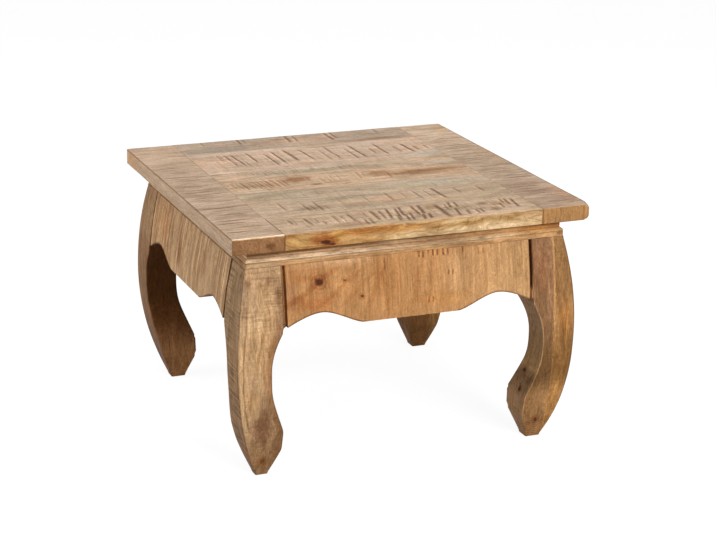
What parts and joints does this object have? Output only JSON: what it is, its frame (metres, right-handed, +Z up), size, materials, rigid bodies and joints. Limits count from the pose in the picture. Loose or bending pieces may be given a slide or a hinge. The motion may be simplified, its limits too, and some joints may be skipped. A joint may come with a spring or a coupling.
{
  "type": "coffee table",
  "caption": "Low square coffee table in rustic mango wood: plank top with end boards, mitred moulding, bowed scalloped aprons and thick inward-curving legs.",
  "frame": {"origin": "on the floor, under the middle of the square top", "axes": "+Z up, -Y towards the front that the picture shows, +X to the right of that front"},
  "size_m": [0.6, 0.6, 0.4075],
  "materials": {
    "plank_wood": "rough-sawn mango wood, waxed, with dark saw marks",
    "end_board_wood": "rough-sawn mango wood, waxed, darker",
    "moulding_wood": "planed mango wood, waxed",
    "apron_wood": "sawn mango wood, waxed, orange tan",
    "leg_inner_wood": "sawn mango wood, waxed, brown",
    "leg_outer_wood": "sawn mango wood, waxed, yellow brown",
    "block_wood": "raw sawn mango wood",
    "dowel_wood": "raw turned wood",
    "screw_steel": "zinc-plated steel"
  },
  "bodies": {
    "root": {"end_board_left": "end_board_wood", "end_board_right": "end_board_wood", "top_plank_1": "plank_wood", "top_plank_2": "plank_wood", "top_plank_3": "plank_wood", "top_plank_4": "plank_wood", "top_plank_5": "plank_wood", "top_plank_6": "plank_wood", "top_plank_7": "plank_wood", "moulding_front": "moulding_wood", "moulding_right": "moulding_wood", "moulding_back": "moulding_wood", "moulding_left": "moulding_wood", "apron_front": "apron_wood", "apron_right": "apron_wood", "apron_back": "apron_wood", "apron_left": "apron_wood", "leg_front_left_inner_board": "leg_inner_wood", "leg_front_left_outer_board": "leg_outer_wood", "leg_front_right_inner_board": "leg_inner_wood", "leg_front_right_outer_board": "leg_outer_wood", "leg_back_left_inner_board": "leg_inner_wood", "leg_back_left_outer_board": "leg_outer_wood", "leg_back_right_inner_board": "leg_inner_wood", "leg_back_right_outer_board": "leg_outer_wood", "corner_block_front_left": "block_wood", "corner_block_front_right": "block_wood", "corner_block_back_left": "block_wood", "corner_block_back_right": "block_wood", "dowel_front_left": "dowel_wood", "dowel_front_right": "dowel_wood", "dowel_back_left": "dowel_wood", "dowel_back_right": "dowel_wood", "block_screw_front_a": "screw_steel", "block_screw_front_b": "screw_steel", "block_screw_right_a": "screw_steel", "block_screw_right_b": "screw_steel", "block_screw_back_a": "screw_steel", "block_screw_back_b": "screw_steel", "block_screw_left_a": "screw_steel", "block_screw_left_b": "screw_steel", "top_screw_front_a": "screw_steel", "top_screw_front_b": "screw_steel", "top_screw_right_a": "screw_steel", "top_screw_right_b": "screw_steel", "top_screw_back_a": "screw_steel", "top_screw_back_b": "screw_steel", "top_screw_left_a": "screw_steel", "top_screw_left_b": "screw_steel"}
  },
  "joints": []
}
